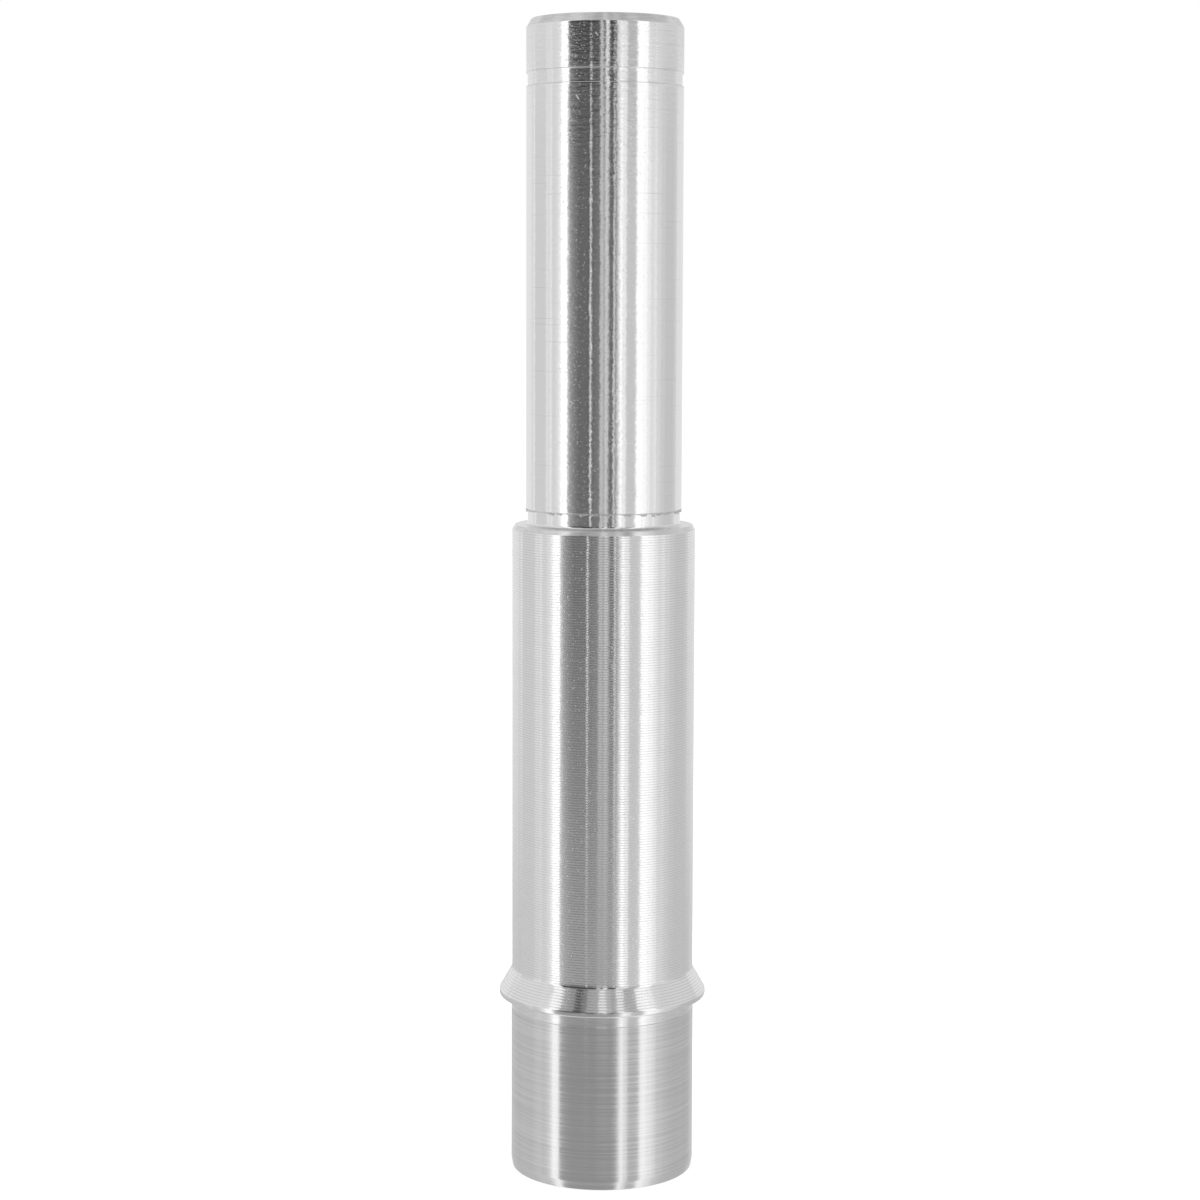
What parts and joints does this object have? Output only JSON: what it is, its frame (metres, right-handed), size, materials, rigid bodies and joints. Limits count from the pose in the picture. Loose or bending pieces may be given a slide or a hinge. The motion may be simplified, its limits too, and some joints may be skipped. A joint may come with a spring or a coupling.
{
  "type": "stepped shaft",
  "caption": "Stepped shaft turned from one aluminium bar, with two bearing journals, a retaining ring groove, a relief neck at the shoulder, a coned stop collar and a spigot.",
  "frame": {"origin": "centre of the lower end face, at the foot of the spigot", "axes": "+Z along the shaft's axis, from the spigot to the small journal; X and Y are across it"},
  "size_m": [0.0228, 0.0228, 0.126],
  "materials": {
    "turned_aluminium": "bare, finely turned, with visible tool rings on the larger journal and a duller brushed spigot"
  },
  "bodies": {
    "root": {"shaft": "turned_aluminium"}
  },
  "joints": []
}
